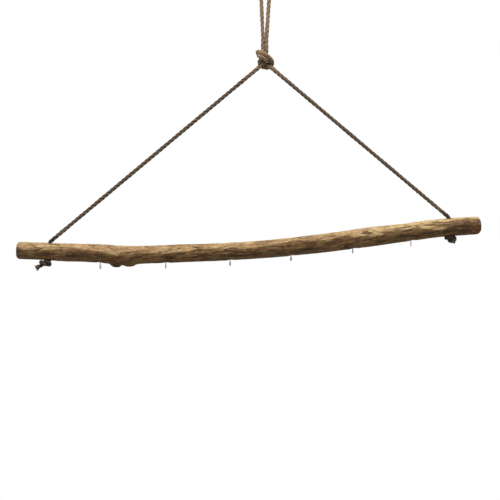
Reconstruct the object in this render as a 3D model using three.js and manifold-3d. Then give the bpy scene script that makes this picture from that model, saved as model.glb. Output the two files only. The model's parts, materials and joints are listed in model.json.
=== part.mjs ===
// Hanging branch rail: a natural branch carried level by one knotted rope, with six screw eyes
// along its underside. Millimetres, +Z up, +X to the right, -Y towards the viewer.
// The origin is the underside of the rope loop's top, where the rope sits on a hook.
import * as THREE from 'three';
import { mergeVertices } from 'three/addons/utils/BufferGeometryUtils.js';
import Module from 'manifold-3d';

const wasm = await Module();
wasm.setup();

// ---- driving dimensions -------------------------------------------------------------------

const ROPE_RADIUS = 3;
const ROPE_SIDES = 8;
const ROPE_FLAT = ROPE_RADIUS * Math.cos(Math.PI / ROPE_SIDES);
const GAP = 0.4;                    // free space left between neighbouring pieces

const HOOK_BAR_RADIUS = 9;          // the bar the loop is sized to hang on
const LOOP_RADIUS = HOOK_BAR_RADIUS + ROPE_FLAT;
const SIDE_SWING = 15;              // degrees the rope may roll round the bar, each way
const BIGHT_HALF_ARC = 55;          // degrees of loop each side of the top that stay on the bar
const BIGHT_FACETS = 9;             // an odd number, so that the middle one lies level
const BAR_Z = -HOOK_BAR_RADIUS * Math.cos((BIGHT_HALF_ARC / BIGHT_FACETS) * (Math.PI / 180));
const SWAY_Z = -19;                 // height of the fore-and-aft hinge below the loop

const KNOT_X = -2.0;                // centre of the knot that gathers the two legs
const KNOT_Z = -207;
const KNOT_ROPE_RADIUS = 3.15;      // knotted rope swells a little
const STOPPER_ROPE_RADIUS = 2.6;    // the small stopper knots are pulled down harder
const STOPPER_GAP = 0.3;
const TWIST_Z = -180.5;             // level where the upper legs meet the knot's strands
const LEGS_MEET_Z = -172;           // level where the upper legs come side by side
const LEG_START = 26;               // lower legs begin this far from the tilt hinge
const LEGS_ACROSS = 6.0;            // where they do, the right leg lies a little in front
const LEGS_DEEP = 3.0;
const TILT_X = -1.5;                // the lower legs' lines cross here
const TILT_Z = -212.7;

const LEFT_HOLE_X = -372.5;
const RIGHT_HOLE_X = 315.6;
const ROPE_HOLE_RADIUS = 4;
const LEG_INSET = 2;                // the legs lean over the holes' inner edges by this much
const ROLL_CLEARANCE = 2.7;         // roll hinge line above the wood at both rope holes

// The screw eyes: place, degrees each ring is turned from edge-on, and the plain shank that
// shows between wood and ring.
const EYES = [
  { x: -285.5, turn: 24, neck: 3.4 },
  { x: -172.7, turn: 12, neck: 2.4 },
  { x: -61.7, turn: 18, neck: 2.2 },
  { x: 43.3, turn: 20, neck: 1.6 },
  { x: 149.5, turn: 6, neck: 0.9 },
  { x: 250.0, turn: -5, neck: 2.4 },
];
const EYE_WIRE_RADIUS = 0.8;
const EYE_RING_RADIUS = 2.9;        // to the middle of the wire
const THREAD_LENGTH = 9.6;
const THREAD_PITCH = 1.6;
const THREAD_CORE = 0.85;
const THREAD_CREST = 1.25;
const PILOT_RADIUS = THREAD_CREST + GAP;

// The branch's spine from left to right: x, height, half-height and half-depth of the wood, and
// how far the spine bows towards the back.
const SPINE = [
  { x: -431, z: -537.0, high: 15.2, deep: 12.8, back: -2 },
  { x: -352, z: -539.6, high: 15.2, deep: 12.9, back: 0 },
  { x: -241, z: -544.4, high: 15.6, deep: 13.7, back: 3 },
  { x: -131, z: -541.7, high: 15.6, deep: 14.2, back: 1 },
  { x: -21, z: -536.5, high: 15.5, deep: 15.4, back: -2 },
  { x: 90, z: -525.6, high: 16.3, deep: 16.6, back: -3 },
  { x: 186, z: -512.9, high: 16.9, deep: 17.6, back: -1 },
  { x: 241, z: -506.3, high: 15.9, deep: 18.2, back: 1 },
  { x: 297, z: -498.7, high: 15.9, deep: 18.6, back: 2 },
  { x: 370, z: -493.4, high: 15.5, deep: 18.9, back: 1 },
];
// Swellings on the wood: place along the branch, direction round it (0 is the back, 90 the top,
// 180 the front, 270 the underside), height, and half-lengths along and round the branch.
const SWELLINGS = [
  { x: -346, turn: 270, height: 1.5, along: 20, round: 0.9 },
  { x: -292, turn: 90, height: 1.3, along: 32, round: 0.9 },
  { x: -246, turn: 270, height: 2.4, along: 24, round: 1.0 },
  { x: -258, turn: 268, height: 5.2, along: 7, round: 0.38 },
  { x: -235, turn: 276, height: 3.6, along: 8.5, round: 0.44 },
  { x: -150, turn: 120, height: 1.0, along: 16, round: 0.6 },
  { x: 20, turn: 200, height: 1.4, along: 14, round: 0.5 },
];
const LEFT_EDGE = 7;                // rounding of the two sawn ends
const RIGHT_EDGE = 9;
const BRANCH_RINGS = 48;
const BRANCH_SIDES = 16;
const BURL_FROM = -276;             // closer rings follow the burl under the wood
const BURL_TO = -212;
const BURL_RING_SPACING = 4;

const radians = (degrees) => THREE.MathUtils.degToRad(degrees);

// ---- solids -------------------------------------------------------------------------------

function toSolid(geometry) {
  const bare = geometry.clone();
  bare.deleteAttribute('normal');
  bare.deleteAttribute('uv');
  const merged = mergeVertices(bare, 1e-4);
  return new wasm.Manifold(new wasm.Mesh({
    numProp: 3,
    vertProperties: new Float32Array(merged.attributes.position.array),
    triVerts: new Uint32Array(merged.index.array),
  }));
}

function toGeometry(solid) {
  const mesh = solid.getMesh();
  const geometry = new THREE.BufferGeometry();
  geometry.setAttribute('position', new THREE.BufferAttribute(mesh.vertProperties, 3));
  geometry.setIndex(new THREE.BufferAttribute(mesh.triVerts, 1));
  geometry.computeVertexNormals();
  return geometry;
}

// A closed skin over rings of points, each ring in the same order, capped by two centre points.
function skin(rings, startPoint, endPoint) {
  const sides = rings[0].length;
  const points = [startPoint, ...rings.flat(), endPoint];
  const at = (ring, side) => 1 + ring * sides + (side % sides);
  const index = [];
  for (let side = 0; side < sides; side++) {
    index.push(0, at(0, side + 1), at(0, side));
    index.push(points.length - 1, at(rings.length - 1, side), at(rings.length - 1, side + 1));
    for (let ring = 0; ring < rings.length - 1; ring++) {
      index.push(at(ring, side), at(ring, side + 1), at(ring + 1, side));
      index.push(at(ring, side + 1), at(ring + 1, side + 1), at(ring + 1, side));
    }
  }
  const geometry = new THREE.BufferGeometry();
  geometry.setAttribute('position', new THREE.Float32BufferAttribute(
    points.flatMap((point) => [point.x, point.y, point.z]), 3));
  geometry.setIndex(index);
  return geometry;
}

function polygon(radius, sides) {
  const corners = [];
  for (let side = 0; side < sides; side++) {
    const angle = ((side + 0.5) * 2 * Math.PI) / sides;
    corners.push(new THREE.Vector2(radius * Math.cos(angle), radius * Math.sin(angle)));
  }
  return new THREE.Shape(corners);
}

// Rope or wire along a curve, with flat ends.
function tube(curve, steps, radius = ROPE_RADIUS, sides = ROPE_SIDES) {
  return new THREE.ExtrudeGeometry(polygon(radius, sides), { extrudePath: curve, steps });
}

function ballAt(point) {
  return new THREE.SphereGeometry(ROPE_RADIUS, ROPE_SIDES * 1.5, 6).translate(
    point.x, point.y, point.z);
}

// ---- knots --------------------------------------------------------------------------------

// One loose overhand knot, entered from above and left below, turned by `turn` degrees.
function looseOverhand(width, depth, height, turn, points = 120) {
  const path = [];
  const reach = 1.93;
  for (let i = 0; i <= points; i++) {
    const t = -reach + (2 * reach * i) / points;
    path.push(new THREE.Vector3(
      -width * (t ** 3 - 3 * t),
      depth * (t ** 4 - 4 * t ** 2 + 1.0),
      -height * (t ** 5 - 10 * t),
    ).applyAxisAngle(new THREE.Vector3(0, 0, 1), radians(turn)));
  }
  return path;
}

// Two copies of a path, side by side like a flat ribbon that is not twisted along its length.
function sideBySide(path, spacing) {
  const last = path.length - 1;
  const tangents = path.map((point, i) =>
    path[Math.min(i + 1, last)].clone().sub(path[Math.max(i - 1, 0)]).normalize());
  const normals = [];
  let normal = new THREE.Vector3(1, 0, 0);
  for (const tangent of tangents) {
    normal = normal.clone().addScaledVector(tangent, -normal.dot(tangent)).normalize();
    normals.push(normal);
  }
  const endSide = new THREE.Vector3().crossVectors(tangents[last], normals[last]);
  const totalTurn = Math.atan2(endSide.x, normals[last].x);
  return [-1, 1].map((side) => path.map((point, i) => {
    const offset = normals[i].clone().applyAxisAngle(tangents[i], (totalTurn * i) / last);
    return point.clone().addScaledVector(offset, (side * spacing) / 2);
  }));
}

function evenly(points, count) {
  const straight = new THREE.CurvePath();
  for (let i = 1; i < points.length; i++) {
    straight.add(new THREE.LineCurve3(points[i - 1], points[i]));
  }
  return straight.getSpacedPoints(count - 1).map((point) => point.clone());
}

function pathLength(points) {
  return points.slice(1).reduce((sum, point, i) => sum + point.distanceTo(points[i]), 0);
}

// Pulls knotted strands tight. The strands' ends stay put, the strands get shorter until the
// rope lies against itself at `spacing`, and two strands run side by side for `paired` of
// their length. Nothing rises above `ceiling`.
function pullTight(strands, spacing, rounds, { paired = 0, ceiling = Infinity } = {}) {
  const count = strands[0].length;
  const all = strands.flat();
  const isEnd = (i) => i % count === 0 || i % count === count - 1;
  const lengths = strands.map(pathLength);
  const step = new THREE.Vector3();

  const pull = (i, j, wanted, share) => {
    step.subVectors(all[j], all[i]);
    const distance = step.length();
    const free = (isEnd(i) ? 0 : 1) + (isEnd(j) ? 0 : 1);
    if (free === 0) return 0;
    step.multiplyScalar((share * (distance - wanted)) / distance / free);
    if (!isEnd(i)) all[i].add(step);
    if (!isEnd(j)) all[j].sub(step);
    return wanted - distance;
  };

  let neighbours = [];
  for (let round = 0; round < rounds; round++) {
    strands.forEach((strand, which) => {
      const segment = lengths[which] / (count - 1);
      for (let pass = 0; pass < 4; pass++) {
        for (let i = 1; i < count; i++) pull(which * count + i - 1, which * count + i, segment, 1);
      }
      const before = strand.map((point) => point.clone());
      for (let i = 1; i < count - 1; i++) {
        strand[i].addScaledVector(before[i - 1], 0.22).addScaledVector(before[i + 1], 0.22);
        strand[i].addScaledVector(before[i], -0.44);
      }
    });
    for (let i = 1; i < paired * count; i++) pull(i, count + i, spacing, 0.7);

    if (round % 20 === 0) {
      const apart = Math.ceil((1.4 * spacing * (count - 1)) / Math.min(...lengths));
      neighbours = [];
      for (let i = 0; i < all.length; i++) {
        for (let j = i + 1; j < all.length; j++) {
          const sameStrand = Math.floor(i / count) === Math.floor(j / count);
          if (sameStrand && j - i < apart) continue;
          if (all[i].distanceTo(all[j]) < spacing + 3) neighbours.push([i, j]);
        }
      }
    }
    const squeeze = strands.map(() => 0);
    for (let pass = 0; pass < 2; pass++) {
      for (const [i, j] of neighbours) {
        if (all[i].distanceTo(all[j]) >= spacing) continue;
        const overlap = pull(i, j, spacing, 0.36);
        for (const end of [i, j]) {
          const which = Math.floor(end / count);
          if (pass === 1) squeeze[which] = Math.max(squeeze[which], overlap);
        }
      }
    }
    for (const point of all) point.z = Math.min(point.z, ceiling);
    const settling = round > rounds - 400;
    lengths.forEach((length, which) => {
      const slack = pathLength(strands[which]) / length < 1.02;
      if (settling) lengths[which] += squeeze[which] > 0.05 ? 0.01 : 0;
      else lengths[which] += squeeze[which] < 0.25 && slack ? -0.08 : 0.03;
    });
  }
  return strands;
}

// ---- branch -------------------------------------------------------------------------------

const spineCurve = new THREE.CatmullRomCurve3(
  SPINE.map((station) => new THREE.Vector3(station.x, station.back, station.z)),
  false, 'catmullrom');
const sizeCurve = new THREE.CatmullRomCurve3(
  SPINE.map((station) => new THREE.Vector3(station.high, station.deep, 0)),
  false, 'catmullrom');

// The place along the spine curve, from 0 to 1, that lies at a given x.
function alongAt(x) {
  let low = 0;
  let high = 1;
  for (let halving = 0; halving < 40; halving++) {
    const middle = (low + high) / 2;
    if (spineCurve.getPoint(middle).x < x) low = middle;
    else high = middle;
  }
  return (low + high) / 2;
}

function swellingAt(x, angle) {
  return SWELLINGS.reduce((sum, swelling) => {
    const off = angle - radians(swelling.turn);
    const round = Math.atan2(Math.sin(off), Math.cos(off)) / swelling.round;
    const along = (x - swelling.x) / swelling.along;
    return sum + swelling.height * Math.exp(-(along ** 2) - round ** 2);
  }, 0);
}

// The wood's surface at x and at an angle round the spine, taken in by `inset`.
function woodPoint(x, angle, inset = 0) {
  const along = alongAt(x);
  const centre = spineCurve.getPoint(along);
  const size = sizeCurve.getPoint(along);
  const tangent = spineCurve.getTangent(along);
  const up = new THREE.Vector3(-tangent.z, 0, tangent.x).normalize();
  const back = new THREE.Vector3(0, 1, 0);
  const swell = swellingAt(x, angle);
  return centre
    .addScaledVector(up, (size.x + swell - inset) * Math.sin(angle))
    .addScaledVector(back, (size.y + swell - inset) * Math.cos(angle));
}

const TOP = Math.PI / 2;
const UNDERSIDE = (3 * Math.PI) / 2;

// Where the rings between the two rounded ends lie.
function ringPlaces(from, to) {
  const places = [];
  for (let ring = 0; ring <= BRANCH_RINGS; ring++) {
    const x = from + ((to - from) * ring) / BRANCH_RINGS;
    if (x < BURL_FROM - BURL_RING_SPACING || x > BURL_TO + BURL_RING_SPACING) places.push(x);
  }
  for (let x = BURL_FROM; x <= BURL_TO; x += BURL_RING_SPACING) places.push(x);
  return places.sort((a, b) => a - b);
}

function branchBlank() {
  const left = SPINE[0].x;
  const right = SPINE[SPINE.length - 1].x;
  const stations = [];
  for (const part of [0, 0.13, 0.5]) {
    stations.push({ x: left + part * LEFT_EDGE, from: part, edge: LEFT_EDGE });
  }
  for (const x of ringPlaces(left + LEFT_EDGE, right - RIGHT_EDGE)) {
    stations.push({ x, from: 1, edge: 0 });
  }
  for (const part of [0.5, 0.13, 0]) {
    stations.push({ x: right - part * RIGHT_EDGE, from: part, edge: RIGHT_EDGE });
  }
  const rings = stations.map((station) => {
    const inset = station.edge * (1 - Math.sqrt(1 - (1 - station.from) ** 2));
    return Array.from({ length: BRANCH_SIDES }, (_, side) =>
      woodPoint(station.x, (2 * Math.PI * side) / BRANCH_SIDES, inset));
  });
  return skin(rings, spineCurve.getPoint(0), spineCurve.getPoint(1));
}

function upright(radius, x, y, bottom, top, sides = 12) {
  return new THREE.CylinderGeometry(radius, radius, top - bottom, sides)
    .rotateX(Math.PI / 2)
    .translate(x, y, (top + bottom) / 2);
}

function spineBack(x) {
  return spineCurve.getPoint(alongAt(x)).y;
}

function undersideAt(x) {
  return woodPoint(x, UNDERSIDE).z;
}

function branch() {
  let wood = toSolid(branchBlank());
  for (const x of [LEFT_HOLE_X, RIGHT_HOLE_X]) {
    const through = upright(ROPE_HOLE_RADIUS, x, 0, undersideAt(x) - 9, woodPoint(x, TOP).z + 9);
    wood = wood.subtract(toSolid(through));
  }
  for (const { x } of EYES) {
    const bottom = undersideAt(x) - 4;
    const top = undersideAt(x) + THREAD_LENGTH + 1.5;
    wood = wood.subtract(toSolid(upright(PILOT_RADIUS, x, spineBack(x), bottom, top, 10)));
  }
  return toGeometry(wood);
}

// ---- screw eyes ---------------------------------------------------------------------------

const NECK_RADIUS = 0.9;
const RING_SEGMENTS = 16;

// Tip up, from the pointed end of the thread down to the plain neck inside the ring's wire.
function screwShank(neck) {
  const sides = 8;
  const perTurn = 3;
  const neckEnd = -neck - EYE_WIRE_RADIUS;
  const rows = Math.round((THREAD_LENGTH / THREAD_PITCH) * perTurn);
  const rings = [];
  for (let row = 1; row <= rows; row++) {
    const down = (THREAD_LENGTH * row) / rows;
    const taper = Math.min(1, 0.35 + (0.65 * down) / (2 * THREAD_PITCH));
    rings.push(Array.from({ length: sides }, (_, side) => {
      const turn = side / sides;
      const phase = down / THREAD_PITCH + turn;
      const ridge = Math.max(0, 1 - 3 * Math.abs(phase - Math.round(phase)));
      const runsOut = row > rows - 3 ? 0 : 1;
      const radius = THREAD_CORE + (THREAD_CREST - THREAD_CORE) * ridge * runsOut;
      return new THREE.Vector3(
        taper * radius * Math.cos(2 * Math.PI * turn),
        taper * radius * Math.sin(2 * Math.PI * turn),
        THREAD_LENGTH - down,
      );
    }));
  }
  for (const z of [-0.6, neckEnd]) {
    rings.push(Array.from({ length: sides }, (_, side) => new THREE.Vector3(
      NECK_RADIUS * Math.cos((2 * Math.PI * side) / sides),
      NECK_RADIUS * Math.sin((2 * Math.PI * side) / sides),
      z,
    )));
  }
  rings.forEach((ring) => ring.reverse());
  return skin(rings, new THREE.Vector3(0, 0, THREAD_LENGTH), new THREE.Vector3(0, 0, neckEnd));
}

// Ring edge-on to the front, with one flat facet at the very bottom of its inside.
function eyeRing(neck) {
  const profile = polygon(EYE_WIRE_RADIUS, 8).getPoints().map((corner) =>
    new THREE.Vector2(EYE_RING_RADIUS + corner.x, corner.y));
  profile.push(profile[0].clone());
  return new THREE.LatheGeometry(profile, RING_SEGMENTS)
    .rotateY(Math.PI / RING_SEGMENTS)
    .rotateZ(Math.PI / 2)
    .translate(0, 0, -neck - EYE_RING_RADIUS - EYE_WIRE_RADIUS);
}

function screwEye({ x, turn, neck }) {
  const solid = toSolid(screwShank(neck)).add(toSolid(eyeRing(neck)));
  const geometry = toGeometry(solid);
  geometry.rotateZ(radians(turn));
  return geometry.translate(x, spineBack(x), undersideAt(x));
}

// ---- rope ---------------------------------------------------------------------------------

function loopPoint(degreesFromTop) {
  const angle = radians(degreesFromTop);
  return new THREE.Vector3(
    LOOP_RADIUS * Math.sin(angle), 0, BAR_Z + LOOP_RADIUS * Math.cos(angle));
}

class LoopArc extends THREE.Curve {
  constructor(from, to) {
    super();
    this.from = from;
    this.to = to;
  }

  getPoint(part) {
    return loopPoint(this.from + (this.to - this.from) * part);
  }
}

// The top of the loop, faceted so that one flat facet lies level on the hook at the origin.
function bight() {
  return tube(new LoopArc(-BIGHT_HALF_ARC, BIGHT_HALF_ARC), BIGHT_FACETS);
}

// From the bight's end round to the straight leg, on one side of the hook bar.
function loopShoulder(side) {
  const start = BIGHT_HALF_ARC + SIDE_SWING + 2;
  const bottom = SWAY_Z + ROPE_RADIUS + GAP;
  const points = [start, (start + 90) / 2, 90].map((angle) => loopPoint(side * angle));
  points.push(upperLegPoint(side, bottom));
  return tube(new THREE.CatmullRomCurve3(points, false, 'centripetal'), 5);
}

const KNOT_SPACING = 2 * KNOT_ROPE_RADIUS + GAP;

// Where a leg comes down beside the other one, at height z.
function gatheredPoint(side, z) {
  return new THREE.Vector3(KNOT_X + (side * LEGS_ACROSS) / 2, (-side * LEGS_DEEP) / 2, z);
}

function upperLegPoint(side, z) {
  const part = THREE.MathUtils.clamp((z - BAR_Z) / (LEGS_MEET_Z - BAR_Z), 0, 1);
  return new THREE.Vector3(side * LOOP_RADIUS, 0, z).lerp(gatheredPoint(side, z), part);
}

function upperLeg(side) {
  const top = upperLegPoint(side, SWAY_Z);
  const leg = new THREE.CatmullRomCurve3([
    top,
    upperLegPoint(side, (SWAY_Z + LEGS_MEET_Z) / 2),
    upperLegPoint(side, LEGS_MEET_Z),
    upperLegPoint(side, TWIST_Z + GAP / 2),
  ], false, 'centripetal');
  return toGeometry(toSolid(tube(leg, 12)).add(toSolid(ballAt(top))));
}

function legEnd(holeX) {
  const top = woodPoint(holeX, TOP).z;
  return new THREE.Vector3(holeX - Math.sign(holeX) * LEG_INSET, 0, top + ROLL_CLEARANCE);
}

const tiltCentre = new THREE.Vector3(TILT_X, 0, TILT_Z);

function alongLeg(holeX, distance) {
  const direction = legEnd(holeX).sub(tiltCentre).normalize();
  return tiltCentre.clone().addScaledVector(direction, distance);
}

// The doubled overhand knot. The two strands cross over inside it and leave it in line with the
// legs above and below.
function gatheringKnot() {
  const lead = 12;
  const centre = new THREE.Vector3(KNOT_X, 0, KNOT_Z);
  const loose = looseOverhand(6, 6, 1.4, 250);
  loose.forEach((point) => point.add(centre).add(new THREE.Vector3(8, 2, 0)));
  const holes = [RIGHT_HOLE_X, LEFT_HOLE_X];
  const strands = sideBySide(loose, KNOT_SPACING).map((strand, i) => evenly([
    gatheredPoint(2 * i - 1, TWIST_Z - lead),
    ...strand,
    alongLeg(holes[i], LEG_START - lead),
  ], 72));
  pullTight(strands, KNOT_SPACING, 4000, { paired: 0.8 });
  return strands.map((strand, i) => new THREE.CatmullRomCurve3([
    gatheredPoint(2 * i - 1, TWIST_Z - GAP / 2),
    ...strand,
    alongLeg(holes[i], LEG_START - 0.6),
  ], false, 'centripetal'));
}

function lowerLeg(holeX) {
  const end = legEnd(holeX);
  const line = new THREE.LineCurve3(alongLeg(holeX, LEG_START), end);
  return toGeometry(toSolid(tube(line, 1)).add(toSolid(ballAt(end))));
}

// Rope down through the branch, a single overhand stopper knot under it and a short tail.
function stopper({ holeX, loose, shift, tail }) {
  const spacing = 2 * STOPPER_ROPE_RADIUS + STOPPER_GAP;
  const exit = new THREE.Vector3(holeX, 0, undersideAt(holeX) - spacing / 2 - STOPPER_GAP);
  const end = exit.clone().add(tail);
  const knot = loose.map((point) => point.add(exit).add(shift));
  const [knotted] = pullTight([evenly([exit, ...knot, end], 44)], spacing, 2500,
    { ceiling: exit.z });
  const mouth = new THREE.Vector3(holeX, 0, woodPoint(holeX, TOP).z - 1.2);
  return new THREE.CatmullRomCurve3([mouth, ...knotted], false, 'centripetal');
}

const LEFT_STOPPER = {
  holeX: LEFT_HOLE_X,
  loose: looseOverhand(6, 4.8, 1.3, 345),
  shift: new THREE.Vector3(-7, 2, -4),
  tail: new THREE.Vector3(-24, -3, -13),
};
const RIGHT_STOPPER = {
  holeX: RIGHT_HOLE_X,
  loose: looseOverhand(3.6, 4.8, 0.5, 180),
  shift: new THREE.Vector3(-2.5, 2, -4),
  tail: new THREE.Vector3(11, -3, -7),
};

// ---- assembly -----------------------------------------------------------------------------

const WOOD = { color: 0x8f7350, roughness: 0.85, metalness: 0 };
const ROPE = { color: 0x8c765f, roughness: 0.95, metalness: 0 };
const STEEL = { color: 0xb9bcc0, roughness: 0.3, metalness: 0.9 };

function piece(name, geometry, look) {
  const mesh = new THREE.Mesh(geometry, new THREE.MeshStandardMaterial(look));
  mesh.name = name;
  return mesh;
}

const rail = new THREE.Group();
rail.name = 'hanging_branch_rail';

const sling = new THREE.Group();
sling.name = 'rope_sling';
sling.add(
  piece('rope_hook_bight', bight(), ROPE),
  piece('rope_left_shoulder', loopShoulder(-1), ROPE),
  piece('rope_right_shoulder', loopShoulder(1), ROPE),
  piece('rope_left_upper_leg', upperLeg(-1), ROPE),
  piece('rope_right_upper_leg', upperLeg(1), ROPE),
);

const [leftStrand, rightStrand] = gatheringKnot();
sling.add(
  piece('knot_strand_from_left', tube(leftStrand, 56, KNOT_ROPE_RADIUS), ROPE),
  piece('knot_strand_from_right', tube(rightStrand, 52, KNOT_ROPE_RADIUS), ROPE),
  piece('rope_left_lower_leg', lowerLeg(LEFT_HOLE_X), ROPE),
  piece('rope_right_lower_leg', lowerLeg(RIGHT_HOLE_X), ROPE),
  piece('left_stopper_knot', tube(stopper(LEFT_STOPPER), 48, STOPPER_ROPE_RADIUS), ROPE),
  piece('right_stopper_knot', tube(stopper(RIGHT_STOPPER), 48, STOPPER_ROPE_RADIUS), ROPE),
);

const bar = new THREE.Group();
bar.name = 'branch_and_eyes';
bar.add(piece('branch', branch(), WOOD));
EYES.forEach((eye, i) => {
  bar.add(piece(`screw_eye_${i + 1}`, screwEye(eye), STEEL));
});

rail.add(sling, bar);

export default rail;
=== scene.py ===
import json
import math

import bpy
import numpy as np
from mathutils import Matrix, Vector, noise
from mathutils.bvhtree import BVHTree


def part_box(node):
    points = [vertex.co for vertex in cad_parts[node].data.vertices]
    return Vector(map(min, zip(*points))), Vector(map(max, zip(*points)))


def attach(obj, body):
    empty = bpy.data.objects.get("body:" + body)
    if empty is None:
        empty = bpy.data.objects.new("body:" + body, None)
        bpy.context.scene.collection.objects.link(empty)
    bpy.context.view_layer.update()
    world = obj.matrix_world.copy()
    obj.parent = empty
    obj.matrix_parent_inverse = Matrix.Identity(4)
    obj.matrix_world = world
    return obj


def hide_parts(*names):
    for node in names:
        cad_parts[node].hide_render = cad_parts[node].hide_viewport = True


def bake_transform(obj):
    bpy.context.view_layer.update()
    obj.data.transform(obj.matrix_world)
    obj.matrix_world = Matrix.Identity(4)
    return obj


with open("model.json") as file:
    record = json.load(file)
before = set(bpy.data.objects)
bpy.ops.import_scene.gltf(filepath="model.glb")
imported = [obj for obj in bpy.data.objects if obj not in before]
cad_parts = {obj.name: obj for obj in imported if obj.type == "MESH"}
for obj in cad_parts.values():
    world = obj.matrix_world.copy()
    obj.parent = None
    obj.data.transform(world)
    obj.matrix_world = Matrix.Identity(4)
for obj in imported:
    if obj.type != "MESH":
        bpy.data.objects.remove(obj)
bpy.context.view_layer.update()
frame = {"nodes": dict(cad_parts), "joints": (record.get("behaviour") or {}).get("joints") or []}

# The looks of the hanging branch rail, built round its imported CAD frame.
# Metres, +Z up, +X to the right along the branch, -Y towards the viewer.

random = np.random.default_rng(11)

MM = 0.001
UP = np.array([0.0, 0.0, 1.0])

# ---- what the frame says ---------------------------------------------------------------------

ROPE_RADIUS = 3.0 * MM
CAD_ROPE_SIDES = 8
SIDES = ("left", "right")


def joint(name):
    return next(j for j in frame["joints"] if j["name"] == name)


def joint_place(name):
    return np.array(joint(name)["pos_m"], float)


def corners(node):
    return [np.array(corner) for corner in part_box(node)]


def middle_of(node):
    low, high = corners(node)
    return (low + high) / 2


def centreline(node):
    """Middles of the rings of a CAD tube, walked edge by edge down from its highest ring."""
    mesh = frame["nodes"][node].data
    spots = np.array([vertex.co for vertex in mesh.vertices])
    places, merged = np.unique(np.round(spots, 6), axis=0, return_inverse=True)
    merged = merged.ravel()
    neighbours = [set() for _ in places]
    for edge in mesh.edges:
        a, b = (int(merged[v]) for v in edge.vertices)
        neighbours[a].add(b)
        neighbours[b].add(a)
    ring = set(int(i) for i in np.argsort(-places[:, 2])[:CAD_ROPE_SIDES])
    seen = set(ring)
    middles = []
    while ring:
        middles.append(places[sorted(ring)].mean(axis=0))
        ring = set(n for v in ring for n in neighbours[v]) - seen
        seen |= ring
    return np.array(middles)


def hole_mouth(side):
    """Where the rope enters the hole at this end of the branch."""
    return centreline(side + "_stopper_knot")[0]


# ---- small tools ------------------------------------------------------------------------------


def unit(vectors):
    return vectors / np.linalg.norm(vectors, axis=-1, keepdims=True)


def soften(values, reach):
    """Gaussian smoothing along the first axis that keeps both ends where they are."""
    span = int(3 * reach)
    offsets = np.arange(-span, span + 1)
    weights = np.exp(-0.5 * (offsets / reach) ** 2)
    weights /= weights.sum()
    before = 2 * values[0] - values[span:0:-1]
    after = 2 * values[-1] - values[-2:-span - 2:-1]
    padded = np.concatenate([before, values, after])
    columns = padded.reshape(len(padded), -1).T
    smooth = [np.convolve(column, weights, "valid") for column in columns]
    return np.array(smooth).T.reshape(values.shape)


def resample(points, step):
    lengths = np.linalg.norm(np.diff(points, axis=0), axis=1)
    along = np.concatenate([[0.0], np.cumsum(lengths)])
    places = np.linspace(0, along[-1], int(round(along[-1] / step)) + 1)
    return np.array([np.interp(places, along, column) for column in points.T]).T


def rise(value, low, high):
    """A smooth step from 0 at low to 1 at high."""
    share = np.clip((value - low) / (high - low), 0, 1)
    return share * share * (3 - 2 * share)


def add_vectors(mesh, vectors):
    """Named vectors on the vertices, for the material to read."""
    for key, values in vectors.items():
        attribute = mesh.attributes.new(key, "FLOAT_VECTOR", "POINT")
        attribute.data.foreach_set("vector", np.asarray(values, np.float32).ravel())


def make_mesh(name, points, faces, vectors=None, material=None):
    """A smooth-shaded mesh piece; vectors holds named vertex attributes for its material."""
    mesh = bpy.data.meshes.new(name)
    mesh.from_pydata([tuple(point) for point in points], [], faces)
    mesh.update()
    mesh.shade_smooth()
    add_vectors(mesh, vectors or {})
    made = bpy.data.objects.new(name, mesh)
    bpy.context.scene.collection.objects.link(made)
    if material:
        mesh.materials.append(material)
    return made


def grid_faces(rows, columns, start=0):
    """Quads between closed rings of points, ring after ring."""
    faces = []
    for row in range(rows - 1):
        for column in range(columns):
            after = (column + 1) % columns
            a = start + row * columns
            b = a + columns
            faces.append((a + column, a + after, b + after, b + column))
    return faces


class Gathered:
    """Points, faces and material vectors of several shells, gathered into one mesh."""

    def __init__(self):
        self.points = []
        self.vectors = {}
        self.faces = []
        self.count = 0

    def add_rings(self, rings, vectors):
        rows, columns, _ = rings.shape
        self.faces += grid_faces(rows, columns, self.count)
        last = self.count + (rows - 1) * columns
        self.faces.append(tuple(self.count + i for i in range(columns - 1, -1, -1)))
        self.faces.append(tuple(last + i for i in range(columns)))
        self.points.append(rings.reshape(-1, 3))
        for key, values in vectors.items():
            self.vectors.setdefault(key, []).append(values.reshape(-1, 3))
        self.count += rows * columns

    def piece(self, name, material):
        vectors = {key: np.concatenate(values) for key, values in self.vectors.items()}
        return make_mesh(name, np.concatenate(self.points), self.faces, vectors, material)


# ---- material tools ---------------------------------------------------------------------------


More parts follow.
